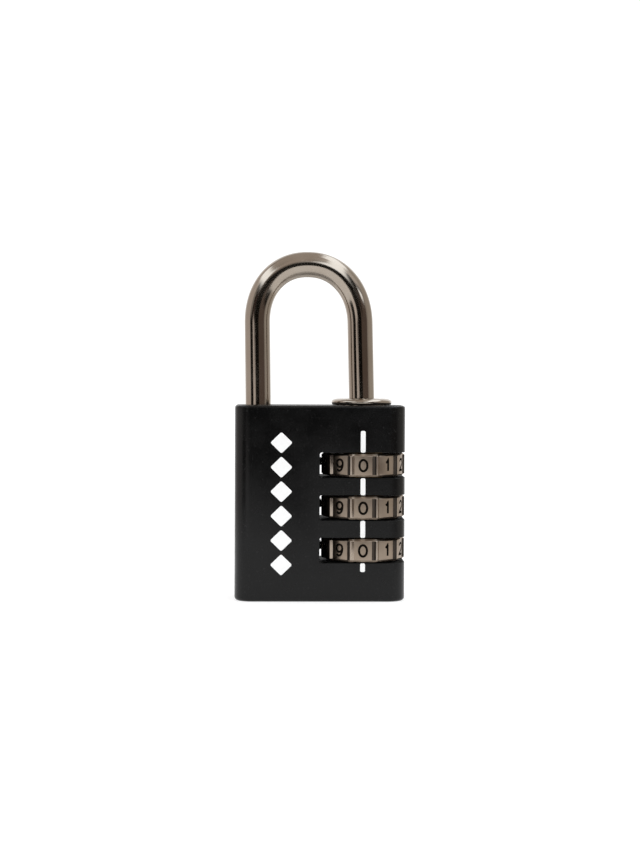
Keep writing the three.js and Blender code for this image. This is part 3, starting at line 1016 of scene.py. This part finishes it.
def make_reset_spring():
    """An open coil of wire that the thrust washer presses on."""
    low, high = node_box("reset_spring")
    mean_radius = (high.x - low.x) / 2 - SPRING_WIRE_RADIUS
    rise = high.z - low.z - 2 * SPRING_WIRE_RADIUS
    steps = 120
    sides = 16
    points = []
    for step in range(steps + 1):
        share = step / steps
        angle = TAU * SPRING_TURNS * share
        outwards = Vector((math.cos(angle), math.sin(angle), 0))
        along = Vector((-math.sin(angle), math.cos(angle), 0)) * TAU * SPRING_TURNS * mean_radius
        along = (along + Vector((0, 0, rise))).normalized()
        centre = outwards * mean_radius
        centre += Vector((AXIS_X, 0, low.z + SPRING_WIRE_RADIUS + rise * share))
        upwards = outwards.cross(along)
        for side in range(sides):
            turn = TAU * side / sides
            offset = outwards * math.cos(turn) + upwards * math.sin(turn)
            points.append(tuple(centre + offset * SPRING_WIRE_RADIUS))
    spring = tidy_normals(mesh_piece("reset_coil", points, tube_faces(steps + 1, sides)))
    paint_on(spring, SPRING_STEEL)
    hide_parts("reset_spring")
    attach(spring, "case")
    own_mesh(spring)


def finish_cad_nodes():
    """The pieces whose CAD shape is kept get a finish each."""
    finishes = {
        "bottom_plug": BLACK,
        "thrust_washer": PLAIN_STEEL,
        "retaining_clip": SPRING_STEEL,
    }
    for number in DIALS:
        finishes[f"code_sleeve_{number}"] = BRASS
        finishes[f"detent_spring_{number}"] = SPRING_STEEL
    for name, finish in finishes.items():
        paint_on(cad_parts[name], finish)


# ---------------------------------------------------------------------------------------------
# Studio
# ---------------------------------------------------------------------------------------------

WHITE = (1.0, 1.0, 1.0)
SKY_STRENGTH = 1.18
FLOOR_DROP = 0.02
FLOOR_EDGE = ((95, 60), (95, -180), (50, -245), (-15, -315), (-150, -330), (-150, 60))

CAMERA_AZIMUTH = math.radians(-1.64)
CAMERA_ELEVATION = math.radians(1.85)
CAMERA_ROLL = math.radians(0.27)
CAMERA_LENS = 75.6
CAMERA_DISTANCE_M = 0.3211
CAMERA_TARGET_M = Vector((0.00008, 0, 0.03062))


class Sky:
    """A world whose light is painted by direction: azimuth and elevation, in degrees.

    Azimuth 0 is in front of the padlock, and 90 is on its dial side.
    """

    def __init__(self, room):
        world = bpy.data.worlds.new("studio")
        bpy.context.scene.world = world
        world.use_nodes = True
        self.tree = world.node_tree
        self.tree.nodes.clear()
        place = self.tree.nodes.new("ShaderNodeTexCoord")
        split = self.tree.nodes.new("ShaderNodeSeparateXYZ")
        self.tree.links.new(place.outputs["Generated"], split.inputs[0])
        towards_front = self.math("MULTIPLY", split.outputs["Y"], -1.0)
        turn = self.math("ARCTAN2", split.outputs["X"], towards_front)
        self.azimuth = self.math("DEGREES", turn)
        self.elevation = self.math("DEGREES", self.math("ARCSINE", split.outputs["Z"]))
        self.light = room

    def math(self, operation, *values):
        """A Math node. Each value is a number or another node's output."""
        made = self.tree.nodes.new("ShaderNodeMath")
        made.operation = operation
        for socket, value in zip(made.inputs, values):
            if isinstance(value, (int, float)):
                socket.default_value = value
            else:
                self.tree.links.new(value, socket)
        return made.outputs["Value"]

    def step(self, value, edge, soft):
        """Rises smoothly from 0 to 1 across an edge. A negative softness makes it fall."""
        made = self.tree.nodes.new("ShaderNodeMapRange")
        made.interpolation_type = "SMOOTHSTEP"
        made.inputs["From Min"].default_value = edge - abs(soft)
        made.inputs["From Max"].default_value = edge + abs(soft)
        made.inputs["To Min"].default_value = 0.0 if soft > 0 else 1.0
        made.inputs["To Max"].default_value = 1.0 if soft > 0 else 0.0
        self.tree.links.new(value, made.inputs["Value"])
        return made.outputs["Result"]

    def over(self, mask, colour):
        """Lays a colour over the light so far, as far as the mask goes."""
        made = self.tree.nodes.new("ShaderNodeMix")
        made.data_type = "RGBA"
        sockets = (made.inputs[0], made.inputs[6], made.inputs[7])
        for socket, value in zip(sockets, (mask, self.light, colour)):
            if isinstance(value, tuple):
                socket.default_value = (*value, 1.0)
            else:
                self.tree.links.new(value, socket)
        self.light = made.outputs[2]

    def panel(self, azimuths, elevations, colour, soft=4.0, mirrored=False):
        """A soft-edged block of light. A mirrored one is on both sides."""
        turn = self.math("ABSOLUTE", self.azimuth) if mirrored else self.azimuth
        mask = self.math(
            "MULTIPLY", self.step(turn, azimuths[0], soft), self.step(turn, azimuths[1], -soft)
        )
        mask = self.math("MULTIPLY", mask, self.step(self.elevation, elevations[0], soft))
        mask = self.math("MULTIPLY", mask, self.step(self.elevation, elevations[1], -soft))
        self.over(mask, colour)

    def strip(self, start, end, radius, colour):
        """A strip of light with round ends, from one direction to another."""
        soft = 3.0
        run, rise = end[0] - start[0], end[1] - start[1]
        across = self.math("SUBTRACT", self.azimuth, start[0])
        up = self.math("SUBTRACT", self.elevation, start[1])
        along = self.math(
            "ADD", self.math("MULTIPLY", across, run), self.math("MULTIPLY", up, rise)
        )
        share = self.math("DIVIDE", along, run * run + rise * rise)
        share = self.math("MINIMUM", self.math("MAXIMUM", share, 0.0), 1.0)
        off_across = self.math("SUBTRACT", across, self.math("MULTIPLY", share, run))
        off_up = self.math("SUBTRACT", up, self.math("MULTIPLY", share, rise))
        square = self.math(
            "ADD", self.math("POWER", off_across, 2.0), self.math("POWER", off_up, 2.0)
        )
        self.over(self.step(self.math("SQRT", square), radius, -soft), colour)

    def finish(self):
        """The camera sees plain white wherever there is nothing else."""
        path = self.tree.nodes.new("ShaderNodeLightPath")
        self.over(path.outputs["Is Camera Ray"], WHITE)
        background = self.tree.nodes.new("ShaderNodeBackground")
        background.inputs["Strength"].default_value = SKY_STRENGTH
        self.tree.links.new(self.light, background.inputs["Color"])
        output = self.tree.nodes.new("ShaderNodeOutputWorld")
        self.tree.links.new(background.outputs[0], output.inputs["Surface"])


def make_world():
    """A dark room in front, pale walls at both sides, a white wall behind, and softboxes above.

    A panel is given its azimuths, elevations and colour, and how soft its edges are. A strip is
    given its two ends, its half width and its colour. A later light hides an earlier one.
    """
    lamp = (1.95, 2.1, 2.25)
    sky = Sky((0.006, 0.005, 0.004))
    sky.panel((11, 62), (-8, 5), (0.135, 0.105, 0.09), 3)
    sky.panel((28, 66), (4, 17), (0.14, 0.11, 0.095), 3)
    sky.panel((-50, -30), (3, 17), (0.05, 0.032, 0.028))
    sky.panel((-42, -32), (-14, 3), (0.85, 0.8, 0.78), 2.5)
    sky.panel((-34, -21), (-14, 0), (0.85, 0.8, 0.78), 2.5)
    sky.panel((-66, -54), (5, 24), (0.37, 0.35, 0.33))
    sky.panel((63, 90), (-32, 24), (0.42, 0.39, 0.36))
    sky.panel((-30, 8), (21, 62), (0.56, 0.5, 0.46), 10)
    sky.panel((88, 200), (-100, -18), (0.52, 0.5, 0.48), 8, mirrored=True)
    sky.panel((-140, -68), (-28, 50), (0.66, 0.61, 0.585), 4)
    sky.panel((77, 140), (-32, 50), (0.53, 0.5, 0.46), 5)
    sky.panel((-300, 300), (52, 100), (0.55, 0.5, 0.46), 6)
    sky.panel((-75, -25), (40, 60), (0.5, 0.46, 0.42), 7)
    sky.panel((5, 35), (40, 60), (0.6, 0.56, 0.52), 7)
    sky.panel((50, 85), (28, 50), (0.75, 0.72, 0.7), 6)
    sky.panel((137, 300), (-20, 50), WHITE, 8, mirrored=True)
    sky.strip((-98, 46), (-62, 40), 8, lamp)
    sky.strip((-62, 40), (-32, 28), 7.5, lamp)
    sky.strip((13, 23), (36, 45), 8.5, lamp)
    sky.strip((36, 45), (64, 60), 10, lamp)
    sky.strip((64, 62), (120, 62), 13, lamp)
    sky.strip((120, 60), (150, 55), 8, lamp)
    sky.strip((49, 19), (60, 20), 3.5, lamp)
    sky.finish()


def make_floor():
    """A pale sheet under the padlock, with a slanting front edge."""
    floor = mesh_piece(
        "floor",
        [(x, y, -FLOOR_DROP) for x, y in FLOOR_EDGE],
        [list(range(len(FLOOR_EDGE) - 1, -1, -1))],
        smooth=False,
    )
    grey, glow = 0.4, 0.7
    finish = Finish("pale_floor")
    finish.shader.inputs["Base Color"].default_value = (grey, grey, grey, 1.0)
    finish.shader.inputs["Emission Color"].default_value = (*WHITE, 1.0)
    finish.shader.inputs["Emission Strength"].default_value = glow
    finish.rough(finish.spread(finish.noise(40), 0.85, 0.95))
    paint_on(floor, finish.material)


def make_fill_light():
    """A soft light from the front that brightens paint and leaves no highlight in the metal."""
    size_m, radiance = 0.4, 1.5
    light = bpy.data.lights.new("front_fill", "AREA")
    light.shape = "SQUARE"
    light.size = size_m
    light.energy = radiance * math.pi * size_m**2
    panel = bpy.data.objects.new("front_fill", light)
    bpy.context.scene.collection.objects.link(panel)
    away = Vector((-0.3, -1.0, 0.45)).normalized()
    middle_m, distance_m = Vector((0, 0, 0.03)), 0.5
    panel.location = middle_m + away * distance_m
    panel.rotation_mode = "QUATERNION"
    panel.rotation_quaternion = away.to_track_quat("Z", "Y")
    panel.visible_glossy = False


def make_camera():
    """Almost straight in front, and just above the case's top."""
    data = bpy.data.cameras.new("camera")
    data.sensor_fit = "AUTO"
    data.sensor_width = 36
    data.lens = CAMERA_LENS
    data.clip_start = 0.01
    data.clip_end = 10
    camera = bpy.data.objects.new("camera", data)
    bpy.context.scene.collection.objects.link(camera)
    away = Vector((
        math.sin(CAMERA_AZIMUTH) * math.cos(CAMERA_ELEVATION),
        -math.cos(CAMERA_AZIMUTH) * math.cos(CAMERA_ELEVATION),
        math.sin(CAMERA_ELEVATION),
    ))
    roll = Matrix.Rotation(CAMERA_ROLL, 4, "Z").to_quaternion()
    camera.rotation_mode = "QUATERNION"
    camera.rotation_quaternion = away.to_track_quat("Z", "Y") @ roll
    camera.location = CAMERA_TARGET_M + away * CAMERA_DISTANCE_M
    bpy.context.scene.camera = camera


# ---------------------------------------------------------------------------------------------
# Making
# ---------------------------------------------------------------------------------------------

make_camera()
make_world()
make_floor()
make_fill_light()
bpy.context.scene.view_settings.view_transform = "Standard"

make_case()
make_index_line()
make_lozenges()
make_shackle()
make_collar()
for dial in DIALS:
    make_dial(dial)
    make_numerals(dial)
make_reset_spring()
finish_cad_nodes()
